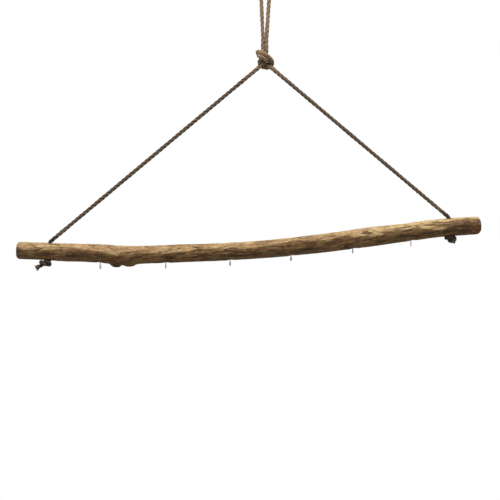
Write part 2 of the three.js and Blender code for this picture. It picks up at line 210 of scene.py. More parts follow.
class Nodes:
    """Short ways to write a node material."""

    def __init__(self, name):
        self.material = bpy.data.materials.new(name)
        self.material.use_nodes = True
        self.tree = self.material.node_tree
        self.tree.nodes.clear()
        self.output = self.add("ShaderNodeOutputMaterial")

    def add(self, kind, settings=None, inputs=None):
        node = self.tree.nodes.new(kind)
        for key, value in (settings or {}).items():
            setattr(node, key, value)
        for key, value in (inputs or {}).items():
            if isinstance(value, bpy.types.NodeSocket):
                self.tree.links.new(value, node.inputs[key])
            else:
                node.inputs[key].default_value = value
        return node

    def attribute(self, name):
        return self.add("ShaderNodeAttribute", {"attribute_name": name}).outputs["Vector"]

    def parts(self, vector):
        return self.add("ShaderNodeSeparateXYZ", inputs={0: vector}).outputs

    def math(self, operation, a, b):
        return self.add("ShaderNodeMath", {"operation": operation}, {0: a, 1: b}).outputs[0]

    def stretched(self, vector, scale, offset=(0, 0, 0)):
        return self.add("ShaderNodeMapping", inputs={
            "Vector": vector, "Scale": scale, "Location": offset}).outputs[0]

    def noise(self, vector, detail=3.0, roughness=0.55, distortion=0.0):
        return self.add("ShaderNodeTexNoise", inputs={
            "Vector": vector, "Scale": 1.0, "Detail": detail, "Roughness": roughness,
            "Distortion": distortion}).outputs["Fac"]

    def ramp(self, value, low, high, to_low=0.0, to_high=1.0):
        return self.add("ShaderNodeMapRange", {"clamp": True, "interpolation_type": "SMOOTHSTEP"}, {
            "Value": value, "From Min": low, "From Max": high,
            "To Min": to_low, "To Max": to_high}).outputs[0]

    def mix(self, share, a, b, how="MIX"):
        node = self.add("ShaderNodeMix", {"data_type": "RGBA", "blend_type": how})
        for socket, value in ((0, share), (6, a), (7, b)):
            if isinstance(value, bpy.types.NodeSocket):
                self.tree.links.new(value, node.inputs[socket])
            else:
                node.inputs[socket].default_value = value if socket == 0 else (*value, 1.0)
        return node.outputs[2]

    def bump(self, height, strength, distance):
        return self.add("ShaderNodeBump", inputs={
            "Height": height, "Strength": strength, "Distance": distance}).outputs[0]

    def finish(self, inputs):
        shader = self.add("ShaderNodeBsdfPrincipled", inputs=inputs)
        self.tree.links.new(shader.outputs[0], self.output.inputs[0])
        return self.material


# ---- rope -------------------------------------------------------------------------------------

ROPE_STEP = 0.9 * MM                # between the rings of the visible rope
ROPE_LAY = 26.0 * MM                # one full turn of the three strands
STRANDS = 3
STRAND_SIDES = 14
STRAND_OFFSET = 1.8 * MM            # strand centre from the rope's centre
STRAND_RADIUS = 1.68 * MM
STRAND_WIDTH = 1.2                  # strands are pressed wider than they are high
STOPPER_SIZE = 0.94                 # the rope of the two small knots is pulled thinner
KNOT_SIZE = 1.08                    # and the big knot's rope is swollen by its bends
STOPPER_LIFT = {"left": 2.6 * MM, "right": 1.6 * MM}   # how far each is drawn up to the wood
LEG_INSET = 2.0 * MM                # the legs lean over the holes' inner edges by this much
HOLE_LEAN = 0.5 * MM                # and so does the rope just inside the holes
RIM_DIP = 2.6 * MM                  # the legs run straight on into the holes by this much
FRAY = 9.0 * MM                     # length over which the tails come unlaid
FRAY_SPREAD = 1.2                   # how far their strands open, in strand offsets
FIBRE_SLANT = 2.4 * math.pi / ROPE_LAY          # brings the fibres in line with the rope
FOOT = 12.0 * MM                    # rope above each hole that belongs to the stopper's piece
SIDE_BY_SIDE = 8.5 * MM             # the legs touch this far above the knot
NECK_TOP = -12.0 * MM               # heights where the loop, the necks and the legs are parted
NECK_BOTTOM = -30.0 * MM
LOOP_POINTS = 25
ROPE_SOFTENING = 1.8 * MM           # how far the corners between sections are rounded off
UNEVEN_REACH = 9.0                  # the thickness wanders over this many rings
UNEVEN_SHARE = 0.035                # and by this share
STOPPER_SIZE_EDGE = 6.0 * MM        # lengths over which the thickness of the knots' rope changes
KNOT_SIZE_EDGE = 12.0 * MM
LEG_SHADE = 0.68                     # painted shade on the lower legs, where the stoppers have 1
# lengths over which that painted shade fades in
LEG_SHADE_EDGE = 60.0 * MM
STOPPER_SHADE_EDGE = 16.0 * MM
FRAY_SWELLING = 0.3                 # frayed strands are thicker by this share
STRAND_SHIFT = 3.7                  # takes each strand's pattern from another place
HAIRS_PER_METRE = 700
HAIR_ROOT = 2.2 * MM                # hairs start this far from the rope's centre
HAIR_LENGTH = (1.5 * MM, 4.2 * MM)
HAIR_RADIUS = (0.035 * MM, 0.07 * MM)


def leg_end(side):
    """Where this side's leg meets the hinge line of the branch's roll."""
    mouth = hole_mouth(side)
    hinge = joint("branch_roll")
    at, along = np.array(hinge["pos_m"]), np.array(hinge["axis"])
    x = mouth[0] - np.sign(mouth[0]) * LEG_INSET
    return at + along * (x - at[0]) / along[0]


def stopper_line(side):
    """A stopper knot's centre line, from where the rope leans on its hole's inner edge."""
    line = centreline(side + "_stopper_knot")
    line[0, 0] -= np.sign(line[0, 0]) * HOLE_LEAN
    line[1:, 2] += STOPPER_LIFT[side]
    return line


def rope_sections():
    """The rope as one chain of (name, points) sections, from the left tail to the right tail."""
    left_stopper = stopper_line("left")
    right_stopper = stopper_line("right")
    to_right = centreline("knot_strand_from_left")
    to_left = centreline("knot_strand_from_right")
    left_end, right_end = leg_end("left"), leg_end("right")
    up_left, up_right = unit(to_left[-1] - left_end), unit(to_right[-1] - right_end)
    left_foot, right_foot = left_end + FOOT * up_left, right_end + FOOT * up_right
    left_bend, right_bend = left_end - RIM_DIP * up_left, right_end - RIM_DIP * up_right

    bar = joint_place("side_swing")
    loop_radius = ROPE_RADIUS - bar[2]
    angles = np.radians(np.linspace(90, -90, LOOP_POINTS))
    over = bar + loop_radius * np.stack([np.sin(angles), 0 * angles, np.cos(angles)], axis=1)

    def leg_at(top, knot_top, height):
        gathered = knot_top + SIDE_BY_SIDE * UP
        share = (top[2] - height) / (top[2] - gathered[2])
        return top + (gathered - top) * share

    right_top, left_top = over[0], over[-1]
    right_neck = [leg_at(right_top, to_left[0], z) for z in (NECK_BOTTOM, NECK_TOP)]
    left_neck = [leg_at(left_top, to_right[0], z) for z in (NECK_TOP, NECK_BOTTOM)]
    return [
        ("left_stopper", [*left_stopper[::-1], left_bend, left_foot]),
        ("left_lower_leg", [left_foot, to_left[-1]]),
        ("knot_from_right", to_left[::-1]),
        ("right_upper_leg", [to_left[0], to_left[0] + SIDE_BY_SIDE * UP, right_neck[0]]),
        ("right_neck", right_neck),
        ("loop", [right_neck[1], *over, left_neck[0]]),
        ("left_neck", left_neck),
        ("left_upper_leg", [left_neck[1], to_right[0] + SIDE_BY_SIDE * UP, to_right[0]]),
        ("knot_from_left", to_right),
        ("right_lower_leg", [to_right[-1], right_foot]),
        ("right_stopper", [right_foot, right_bend, *right_stopper]),
    ]


class Rope:
    """The whole rope's centre line, the frames along it and where its sections begin."""

    def __init__(self):
        sections = rope_sections()
        chain = np.concatenate([np.array(points) for _, points in sections])
        reach = [np.linalg.norm(np.diff(points, axis=0), axis=1).sum() for _, points in sections]
        total = sum(reach)
        even = resample(chain, ROPE_STEP)
        self.points = soften(even, ROPE_SOFTENING / ROPE_STEP)
        self.count = len(self.points)
        marks = np.concatenate([[0.0], np.cumsum(reach)]) / total * (self.count - 1)
        marks = np.round(marks).astype(int)
        self.span = {name: (marks[i], marks[i + 1]) for i, (name, _) in enumerate(sections)}
        self.along = np.arange(self.count) * ROPE_STEP
        self.tangent = unit(np.gradient(self.points, axis=0))
        self.normal = self.carry_normals()
        self.side = np.cross(self.tangent, self.normal)
        self.thickness = self.uneven() * self.worked_size()
        # painted shade along the rope, darkest in the stoppers
        self.painted_shade = self.painted_leg_shade()

    def carry_normals(self):
        normal = np.array([0.0, 1.0, 0.0])
        carried = []
        for tangent in self.tangent:
            normal = unit(normal - tangent * normal.dot(tangent))
            carried.append(normal)
        return np.array(carried)

    def uneven(self):
        """Hand-laid rope is a little thicker here and thinner there."""
        sizes = soften(random.normal(size=self.count), UNEVEN_REACH)
        return 1.0 + UNEVEN_SHARE * sizes / sizes.std()

    def inside(self, name, edge):
        """From 0 outside a section to 1 inside it, over `edge` metres."""
        first, last = self.span[name]
        place = np.arange(self.count)
        return np.clip(np.minimum(place - first, last - place) * ROPE_STEP / edge + 0.5, 0, 1)

    def worked_size(self):
        """Thinner rope in the two stopper knots, thicker in the big one."""
        size = np.ones(self.count)
        foot = 2 * FOOT / ROPE_STEP
        place = np.arange(self.count)
        for side in SIDES:
            first, last = self.span[side + "_stopper"]
            depth = last - foot - place if side == "left" else place - first - foot
            size += (STOPPER_SIZE - 1) * np.clip(depth * ROPE_STEP / STOPPER_SIZE_EDGE, 0, 1)
            size += (KNOT_SIZE - 1) * self.inside("knot_from_" + side, KNOT_SIZE_EDGE)
        return size

    def painted_leg_shade(self):
        """Painted shade that darkens the rope: none above the big knot, most in the stoppers."""
        painted_shade = np.zeros(self.count)
        for side in SIDES:
            painted_shade += LEG_SHADE * self.inside(side + "_lower_leg", LEG_SHADE_EDGE)
            painted_shade += self.inside(side + "_stopper", STOPPER_SHADE_EDGE)
        return np.clip(painted_shade, 0, 1)

    def fray(self, some):
        """From 0 along the rope to 1 at its two cut ends."""
        end = np.minimum(self.along, self.along[-1] - self.along)[some]
        return np.clip(1 - end / FRAY, 0, 1) ** 1.5


def strand_rings(rope, first, last, strand):
    """Rings of one strand between two samples, with the direction of its fibres."""
    some = slice(first, last + 1)
    turn = 2 * math.pi * (rope.along[some] / ROPE_LAY + strand / STRANDS)
    out = np.cos(turn)[:, None] * rope.normal[some] + np.sin(turn)[:, None] * rope.side[some]
    across = np.cross(rope.tangent[some], out)
    thick = rope.thickness[some, None]
    fray = rope.fray(some)[:, None]
    centre = rope.points[some] + STRAND_OFFSET * thick * out * (1 + FRAY_SPREAD * fray)
    thick = thick * (1 + FRAY_SWELLING * fray)
    around = 2 * math.pi * np.arange(STRAND_SIDES) / STRAND_SIDES
    rise = STRAND_RADIUS * np.cos(around)[None, :, None]
    reach = STRAND_RADIUS * STRAND_WIDTH * np.sin(around)[None, :, None]
    rings = centre[:, None] + thick[:, None] * (rise * out[:, None] + reach * across[:, None])
    slant = around[None, :] - FIBRE_SLANT * rope.along[some, None]
    fibre = np.stack([
        np.broadcast_to(rope.along[some, None] + STRAND_SHIFT * strand, slant.shape),
        STRAND_RADIUS * np.cos(slant),
        STRAND_RADIUS * np.sin(slant),
    ], axis=2)
    # painted shade: the inner side of each strand, where it meets the others, is darkened
    valley_shade = np.broadcast_to((0.5 - 0.5 * np.cos(around))[None, :], slant.shape)
    return rings, fibre, valley_shade


def hair_rings(base, direction, sag, length, radius, turns=5):
    """One fibre that leaves the rope at base and thins to a point."""
    share = np.linspace(0, 1, turns)[:, None]
    path = base + direction * length * share + sag * length * share ** 2
    one = unit(np.cross(direction, sag + np.array([0.31, 0.17, 0.05])))
    two = np.cross(unit(direction), one)
    around = 2 * math.pi * np.arange(3) / 3
    ring = np.cos(around)[None, :, None] * one + np.sin(around)[None, :, None] * two
    return path[:, None] + ring * (radius * (1.02 - share ** 2))[:, :, None]


def add_hairs(gathered, rope, first, last):
    for _ in range(int((last - first) * ROPE_STEP * HAIRS_PER_METRE)):
        at = int(random.integers(first, last))
        angle = random.uniform(0, 2 * math.pi)
        out = math.cos(angle) * rope.normal[at] + math.sin(angle) * rope.side[at]
        lean = random.choice([-1, 1]) * random.uniform(0.6, 1.6)
        direction = unit(out + lean * rope.tangent[at] + random.normal(0, 0.25, 3))
        sag = 0.5 * random.normal(0, 0.6, 3) - 0.15 * UP
        root = rope.points[at] + out * HAIR_ROOT
        length = random.uniform(*HAIR_LENGTH)
        rings = hair_rings(root, direction, sag, length, random.uniform(*HAIR_RADIUS))
        add_fibre(gathered, rings, rope.along[at], rope.painted_shade[at])


def add_fibre(gathered, rings, along, painted_shade):
    fibre = np.empty(rings.shape)
    fibre[:, :] = (along, random.uniform(-1, 1) * MM, random.uniform(-1, 1) * MM)
    tone = np.zeros(rings.shape)
    tone[:, :, 1] = 1.0
    # the hairs take the painted shade of the rope where they grow
    tone[:, :, 2] = painted_shade
    gathered.add_rings(rings, {"fibre": fibre, "tone": tone})


def rope_piece(rope, section, material):
    """A length of rope: three strands and their loose hairs. tone.x is painted shade in the valleys between
    strands, tone.y marks loose fibres, tone.z is painted shade that darkens the lower legs and stoppers."""
    first, last = rope.span[section]
    gathered = Gathered()
    for strand in range(STRANDS):
        rings, fibre, valley_shade = strand_rings(rope, first, last, strand)
        tone = np.zeros(rings.shape)
        tone[:, :, 0] = valley_shade
        tone[:, :, 2] = rope.painted_shade[first:last + 1, None]
        gathered.add_rings(rings, {"fibre": fibre, "tone": tone})
    add_hairs(gathered, rope, first, last)
    return gathered.piece("rope_" + section, material)


def rope_material():
    n = Nodes("natural_fibre_rope")
    fibre = n.attribute("fibre")
    tone = n.parts(n.attribute("tone"))
    fine = n.noise(n.stretched(fibre, (220, 5200, 5200)), 3.0, 0.6)
    yarn = n.noise(n.stretched(fibre, (60, 1500, 1500)), 2.0, 0.5)
    blotch = n.noise(n.stretched(fibre, (32, 90, 90)), 3.0, 0.6)
    pale = n.mix(blotch, (0.42, 0.28, 0.165), (0.27, 0.17, 0.095))
    dark = n.mix(blotch, (0.13, 0.078, 0.043), (0.085, 0.05, 0.028))
    worn = n.mix(n.ramp(fine, 0.34, 0.62), dark, pale)
    worn = n.mix(n.ramp(yarn, 0.35, 0.65, 0.0, 0.5), worn, n.mix(0.5, pale, dark))
    # painted shade in the valleys between the strands
    shaded = n.mix(n.ramp(tone[0], 0.3, 0.85, 0.0, 0.84), worn, (0.022, 0.013, 0.008))
    colour = n.mix(n.math("MULTIPLY", tone[1], 0.7), shaded, (0.36, 0.26, 0.16))
    # painted shade: the lower legs and the stoppers are darkened
    colour = n.mix(n.math("MULTIPLY", tone[2], 0.9), colour, (0.022, 0.013, 0.0075))
    height = n.math("ADD", n.math("MULTIPLY", fine, 0.45), yarn)
    return n.finish({
        "Base Color": colour,
        "Roughness": n.ramp(fine, 0.2, 0.8, 0.95, 0.72),
        "Specular IOR Level": 0.12,
        "Sheen Weight": 0.12,
        "Sheen Roughness": 0.6,
        "Normal": n.bump(height, 0.8, 0.5 * MM),
    })


def hang_rope():
    rope = Rope()
    material = rope_material()
    pieces = {name: rope_piece(rope, name, material) for name in rope.span}
    stands_for = {
        "left_stopper": "left_stopper_knot",
        "left_lower_leg": "rope_left_lower_leg",
        "knot_from_right": "knot_strand_from_right",
        "right_upper_leg": "rope_right_upper_leg",
        "right_neck": "rope_right_shoulder",
        "loop": "rope_hook_bight",
        "left_neck": "rope_left_shoulder",
        "left_upper_leg": "rope_left_upper_leg",
        "knot_from_left": "knot_strand_from_left",
        "right_lower_leg": "rope_right_lower_leg",
        "right_stopper": "right_stopper_knot",
    }
    for name, node in stands_for.items():
        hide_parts(node)
    bend_rope(pieces)


def bend_rope(pieces):
    """Each piece of rope is baked where it stands; only the lower legs go on a body, of their own."""
    for side, other in (SIDES, SIDES[::-1]):
        end = leg_end(side)
        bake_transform(pieces[side + "_stopper"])
        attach(pieces[side + "_lower_leg"], "lower_legs")
        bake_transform(pieces["knot_from_" + other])
        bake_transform(pieces[side + "_upper_leg"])
        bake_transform(pieces[side + "_neck"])
    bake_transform(pieces["loop"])


# ---- branch -----------------------------------------------------------------------------------

LEFT_EDGE = 7.0 * MM                # rounding of the sawn ends
RIGHT_EDGE = 9.0 * MM
LEFT_TRIM = 1.4 * MM                # the left end is worn back by this much
AROUND = 112                        # points round the branch
SLICE = 1.25 * MM                   # between the rings of the branch
ROPE_HOLE_RADIUS = 4.0 * MM
PILOT_RADIUS = 1.35 * MM
EYES = ["screw_eye_%d" % number for number in range(1, 7)]
RAYS_AROUND = 64                    # rays that read the CAD branch at each place
RAY_SPACING = 3.0 * MM              # between those places
ROPE_HOLE_CLEAR = 8.0 * MM          # no rays within these distances of a hole's middle
PILOT_CLEAR = 4.0 * MM
FACET_REACH = 1.4                   # rays over which the facets are smoothed, round the branch
FACET_REACH_ALONG = 0.9             # and along it
SLOPE_SPAN = 8                      # places that give the slope of the spine at its ends
WOOD_RADIUS = 15.5 * MM             # typical, for distances measured round the wood
EYE_DENT = 0.9 * MM                 # the wood is dented round each eye, so that its ring can turn
EYE_DENT_REACH = 5.0 * MM
ROOT_TWO = 1.41                     # for the straight distance from the underside
RELIEF_FADE = 13.0 * MM             # the relief dies out where the wood is thinner than this
CAP_RINGS = 11
CAP_CROWN = 0.5 * MM                # the sawn ends bulge by this much
CAP_ROUGHNESS = 0.12 * MM


class CadBranch:
    """The CAD branch's spine and radii, read with rays; holes are stepped over."""

    def __init__(self):
        mesh = frame["nodes"]["branch"].data
        spots = [vertex.co.copy() for vertex in mesh.vertices]
        self.tree = BVHTree.FromPolygons(spots, [tuple(face.vertices) for face in mesh.polygons])
        low, high = corners("branch")
        self.left, self.right = low[0], high[0]
        self.x = self.clear_places()
        self.spine = np.array([self.middle(x) for x in self.x])
        slope = np.gradient(self.spine[:, 1], self.x)
        self.up = unit(np.stack([-slope, 0 * slope, 0 * slope + 1], axis=1))
        self.angles = 2 * math.pi * np.arange(RAYS_AROUND) / RAYS_AROUND
        self.radii = np.array([self.ring(i) for i in range(len(self.x))])
        self.radii = self.round_off(self.radii)

    def clear_places(self):
        """Places along the branch that are away from its rounded ends and its holes."""
        holes = [(leg_end(side)[0], ROPE_HOLE_CLEAR) for side in SIDES]
        holes += [(middle_of(eye)[0], PILOT_CLEAR) for eye in EYES]
        first = self.left + LEFT_EDGE + RAY_SPACING
        last = self.right - RIGHT_EDGE - RAY_SPACING
        places = np.arange(first, last, RAY_SPACING)
        return np.array([x for x in places if all(abs(x - at) > reach for at, reach in holes)])

    def hit(self, origin, direction):
        return self.tree.ray_cast(Vector(origin), Vector(direction))[0]

    def middle(self, x):
        """Centre (y, z) of the wood at x."""
        y = 0.0
        far = 0.2
        for _ in range(2):
            top = self.hit((x, y, 0.0), (0, 0, -1))[2]
            bottom = self.hit((x, y, -1.0), (0, 0, 1))[2]
            z = (top + bottom) / 2
            front = self.hit((x, -far, z), (0, 1, 0))[1]
            back = self.hit((x, far, z), (0, -1, 0))[1]
            y = (front + back) / 2
        return y, z

    def ring(self, i):
        far = 0.05
        centre = np.array([self.x[i], *self.spine[i]])
        radii = []
        for angle in self.angles:
            out = math.cos(angle) * np.array([0, 1.0, 0]) + math.sin(angle) * self.up[i]
            place = self.hit(centre + far * out, -out)
            radii.append(np.linalg.norm(np.array(place) - centre))
        return radii

    def round_off(self, radii):
        """Takes the facets off, round the branch and then along it."""
        offsets = np.arange(-5, 6)
        weights = np.exp(-0.5 * (offsets / FACET_REACH) ** 2)
        weights /= weights.sum()
        smooth = sum(w * np.roll(radii, o, axis=1) for w, o in zip(weights, offsets))
        return soften(smooth, FACET_REACH_ALONG)

    def at(self, x):
        """The spine (y, z) at x, level beyond the first and last clear places."""
        y, z = (np.interp(x, self.x, column) for column in self.spine.T)
        return y, z

    def radius(self, x, angle):
        """The wood's radius at x in a direction, between the nearest rays."""
        share = np.interp(x, self.x, np.arange(len(self.x)))
        low = np.clip(share.astype(int), 0, len(self.x) - 2)
        part = share - low
        turn = (angle / (2 * math.pi) * RAYS_AROUND) % RAYS_AROUND
        first = turn.astype(int) % RAYS_AROUND
        second = (first + 1) % RAYS_AROUND
        rest = turn - np.floor(turn)
        below = self.radii[low, first] * (1 - rest) + self.radii[low, second] * rest
        above = self.radii[low + 1, first] * (1 - rest) + self.radii[low + 1, second] * rest
        return below * (1 - part) + above * part


cad_branch = CadBranch()


def spine_slopes():
    """Slopes (y, z) of the spine at its first and last clear places."""
    x, spine = cad_branch.x, cad_branch.spine
    ends = ((0, SLOPE_SPAN), (-1, -1 - SLOPE_SPAN))
    return [(spine[j] - spine[i]) / (x[j] - x[i]) for i, j in ends]


def spine_at(x):
    """The spine (y, z) at x, carried on straight towards both ends."""
    y, z = cad_branch.at(x)
    left_slope, right_slope = spine_slopes()
    before = np.minimum(0, x - cad_branch.x[0])
    after = np.maximum(0, x - cad_branch.x[-1])
    y = y + before * left_slope[0] + after * right_slope[0]
    z = z + before * left_slope[1] + after * right_slope[1]
    return y, z


def field(x, y, z, long_scale, cross_scale, seed, octaves=3):
    """Smooth random heights, both up and down, stretched along the branch."""
    points = np.stack([x / long_scale + seed, y / cross_scale, z / cross_scale + seed], axis=-1)
    flat = points.reshape(-1, 3)
    values = [noise.fractal(Vector(point), 0.9, 2.1, octaves) for point in flat]
    return np.array(values).reshape(x.shape)


# Marks in the wood's surface: place along in millimetres, direction round it in degrees (0 the back, 90 the
# top, 180 the front, 270 the underside), half-lengths along and round in millimetres, depth of
# the pit, height of the rim round it and, for a broken side twig, height of its stub.
KNOTS = [
    {"x": -258, "turn": 260, "along": 5.2, "round": 5.5, "pit": 0.2, "rim": 0, "stub": 2.4},
    {"x": -235, "turn": 272, "along": 7.0, "round": 5.0, "pit": 0.1, "rim": 0, "stub": 1.0},
    {"x": -5, "turn": 146, "along": 3.2, "round": 1.9, "pit": 0.5, "rim": 0.35},
    {"x": 22, "turn": 202, "along": 3.0, "round": 2.0, "pit": 0.3, "rim": 0.3},
    {"x": 191, "turn": 80, "along": 4.5, "round": 2.6, "pit": 0.5, "rim": 0.4},
    {"x": -150, "turn": 118, "along": 3.4, "round": 2.0, "pit": 0.4, "rim": 0.35},
    {"x": 268, "turn": 20, "along": 4.2, "round": 2.8, "pit": 0.5, "rim": 0.5},
    {"x": -92, "turn": 342, "along": 3.6, "round": 2.4, "pit": 0.4, "rim": 0.4},
]


def knot_distance(x, angle, knot):
    """Distance from a knot's centre, counted in its own size."""
    off = angle - math.radians(knot["turn"])
    round_way = WOOD_RADIUS * np.arctan2(np.sin(off), np.cos(off)) / (knot["round"] * MM)
    along = (x - knot["x"] * MM) / (knot["along"] * MM)
    return np.sqrt(along ** 2 + round_way ** 2)


def relief(x, angle):
    """How far the wood stands out from its plain shape, in metres."""
    around, over = np.cos(angle), np.sin(angle)
    lumps = 0.35 * MM * field(x, around, over, 48 * MM, 0.8, 1.7)
    waves = 0.16 * MM * field(x, around, over, 17 * MM, 0.3, 5.1)
    channels = field(x, around, over, 70 * MM, 0.17, 9.3, 2)
    rough = 1 + 0.5 * field(x, around, over, 2 * MM, 0.12, 3.3, 2)
    height = lumps + waves - 0.22 * MM * np.clip(1 - 3 * np.abs(channels), 0, 1)
    for eye in EYES:
        from_below = WOOD_RADIUS * np.clip(over + 1, 0, 2) ** 0.5 * ROOT_TWO
        away = np.hypot(x - middle_of(eye)[0], from_below)
        height = height - EYE_DENT * np.exp(-(away / EYE_DENT_REACH) ** 4)
    for knot in KNOTS:
        far = knot_distance(x, angle, knot)
        stub = knot.get("stub", 0) * MM * np.exp(-(far / 0.95) ** 4)
        height = height - knot["pit"] * MM * np.exp(-(far / 0.6) ** 2) * rough
        height = height + knot["rim"] * MM * np.exp(-((far - 1.1) / 0.45) ** 2)
        height = height + stub * (0.5 + 0.5 * rough)
    return height


def end_cap(centre, ring, face):
    """Rings that close a sawn end, crowned and a little rough; face is its way along X."""
    steps = np.linspace(1, 0.04, CAP_RINGS + 1)[1:]
    flat = np.array([centre + (ring - centre) * share for share in steps])
    across, over = flat[..., 1], flat[..., 2]
    rough = field(across, over / (9 * MM), across / (9 * MM), 5 * MM, 0.5, 2.2)
    flat[..., 0] += face * (CAP_CROWN * (1 - steps[:, None] ** 2) + CAP_ROUGHNESS * rough)
    return flat


def branch_shell():
    """Points and faces of the branch without its holes."""
    low, high = cad_branch.left + LEFT_TRIM, cad_branch.right
    quarter = np.linspace(0, math.pi / 2, 9)[:-1]
    left_side = low + LEFT_EDGE * (1 - np.cos(quarter))
    right_side = high - RIGHT_EDGE * (1 - np.cos(quarter))[::-1]
    middle = np.arange(low + LEFT_EDGE, high - RIGHT_EDGE, SLICE)
    x = np.concatenate([left_side, middle, right_side])
    taken = np.concatenate([
        LEFT_EDGE * (1 - np.sin(quarter)),
        0 * middle,
        RIGHT_EDGE * (1 - np.sin(quarter))[::-1],
    ])
    angle = 2 * math.pi * np.arange(AROUND) / AROUND
    xs, angles = np.meshgrid(x, angle, indexing="ij")
    radius = cad_branch.radius(xs, angles) - taken[:, None]
    radius = radius + relief(xs, angles) * np.clip(radius / RELIEF_FADE, 0, 1)
    y, z = spine_at(x)
    up = unit(np.stack([-np.gradient(z, x), 0 * x, 0 * x + 1], axis=1))
    centre = np.stack([x, y, z], axis=1)
    back = np.array([0, 1.0, 0])
    out = np.cos(angles)[..., None] * back + np.sin(angles)[..., None] * up[:, None]
    rings = centre[:, None] + radius[..., None] * out
    left_cap = end_cap(centre[0], rings[0], -1)
    right_cap = end_cap(centre[-1], rings[-1], 1)
    rings = np.concatenate([left_cap[::-1], rings, right_cap])
    points = rings.reshape(-1, 3)
    faces = grid_faces(len(rings), AROUND)
    last = (len(rings) - 1) * AROUND
    faces.append(tuple(range(AROUND - 1, -1, -1)))
    faces.append(tuple(last + i for i in range(AROUND)))
    return points, faces


def cutter(x, y, bottom, top, radius, sides=28):
    """A round upright bar that cuts one hole."""
    around = 2 * math.pi * (np.arange(sides) + 0.5) / sides
    ring = np.stack([x + radius * np.cos(around), y + radius * np.sin(around), 0 * around], axis=1)
    rings = np.array([ring + bottom * UP, ring + top * UP])
    gathered = Gathered()
    gathered.add_rings(rings, {})
    return make_mesh("cutter", np.concatenate(gathered.points), gathered.faces)


def drill(branch):
    """The rope holes go right through; each screw eye sits in a blind pilot hole."""
    bars = []
    for side in SIDES:
        x, _, z = hole_mouth(side)
        bars.append(cutter(x, 0, z - 60 * MM, z + 20 * MM, ROPE_HOLE_RADIUS))
    for eye in EYES:
        low, high = corners(eye)
        x, y, _ = middle_of(eye)
        bars.append(cutter(x, y, low[2], high[2] + 1 * MM, PILOT_RADIUS, 20))
    for bar in bars:
        cut = branch.modifiers.new("hole", "BOOLEAN")
        cut.operation = "DIFFERENCE"
        cut.solver = "EXACT"
        cut.object = bar
    graph = bpy.context.evaluated_depsgraph_get()
    drilled = bpy.data.meshes.new_from_object(branch.evaluated_get(graph))
    branch.modifiers.clear()
    branch.data = drilled
    for bar in bars:
        bpy.data.objects.remove(bar)


RIMMED_STAIN = 0.95                 # reach of the dark stain of a knot with a rim, in knot sizes
STUB_STAIN = 1.35                   # and of a broken twig's
RIGHT_HALF = (120.0 * MM, 200.0 * MM)           # where the wood's paler part fades in
RIGHT_HALF_END = (300.0 * MM, 325.0 * MM)       # and where it fades out
RED_END = (312.0 * MM, 326.0 * MM)              # where the reddish right end begins
YELLOW_WOOD = (110.0 * MM, 200.0 * MM)          # where the pale wood turns yellower


def dark_marks(points, x, angle):
    """Dark knots, painted shade in the rope holes and round their mouths, and painted shade on the rounded
    sawn ends.
    """
    dark = np.zeros(len(x))
    for knot in KNOTS:
        far = knot_distance(x, angle, knot)
        depth = 0.5 + 0.4 * max(knot["pit"], knot.get("stub", 0))
        reach = RIMMED_STAIN if knot["rim"] else STUB_STAIN
        dark = np.maximum(dark, depth * np.exp(-(far / reach) ** 2))
    for side in SIDES:
        # painted shade on the walls of the rope holes and round their mouths
        far = np.hypot(x - hole_mouth(side)[0], points[:, 1])
        dark = np.maximum(dark, 0.8 * np.exp(-((far - ROPE_HOLE_RADIUS) / (1.6 * MM)) ** 2))
    # painted shade on the rounded sawn ends
    ends = np.minimum(x - cad_branch.left, cad_branch.right - x)
    return np.maximum(dark, 0.35 * np.clip(1 - ends / (9 * MM), 0, 1))


def wood_vectors(points):
    """Per-point vectors for the wood material: grain is the place in the straightened branch;
    the second holds in x the dark knots and streaks with painted shade in the rope holes, on the
    rounded sawn ends and in a band below the middle, in y the pale worn patches with painted light
    on the top side, and in z the reddish ones."""
    x = points[:, 0]
    y, z = spine_at(x)
    across, over = points[:, 1] - y, points[:, 2] - z
    angle = np.arctan2(over, across)
    grain = np.stack([x, across, over], axis=1)
    dark = dark_marks(points, x, angle)
    around, height = np.cos(angle), np.sin(angle)
    mottle = field(x, around, height, 24 * MM, 0.26, 6.4)
    # the dark streaks are real marks; their crowding into a band below the middle and thinning on top is
    # painted shade
    shaded_lower_band = np.exp(-((height + 0.28) / 0.3) ** 2)
    streaks = rise(mottle + 0.34 * shaded_lower_band - 0.12 * np.clip(height, 0, 1), 0.1, 0.36)
    dark = np.maximum(dark, 0.85 * streaks)

    fading = rise(-x, -RIGHT_HALF_END[1], -RIGHT_HALF_END[0])
    right_half = rise(x, *RIGHT_HALF) * fading
    # partly painted light: the wood is paler towards the top, partly weathered and partly light from above
    edge = 0.34 + 0.55 * field(x, around, height, 52 * MM, 0.5, 2.9) - 0.16 * right_half
    pale = rise(height - edge, -0.28, 0.3)
    red = rise(field(x, around, height, 44 * MM, 0.42, 12.1), 0.02, 0.34)
    red_end = rise(x, *RED_END) * rise(-height, -0.86, -0.5)
    red = np.maximum(red * (1 - 0.6 * pale), red_end)
    dark = np.maximum(dark, (0.4 + 0.5 * streaks) * red_end)
    worn_spots = rise(field(x, around, height, 8 * MM, 0.3, 8.8), 0.12, 0.36)
    pale = np.maximum(pale * (1 - 0.85 * red_end), 0.5 * worn_spots * red_end)
    red = red * (1 - 0.6 * worn_spots)
    return grain, np.stack([dark, pale, red], axis=1)


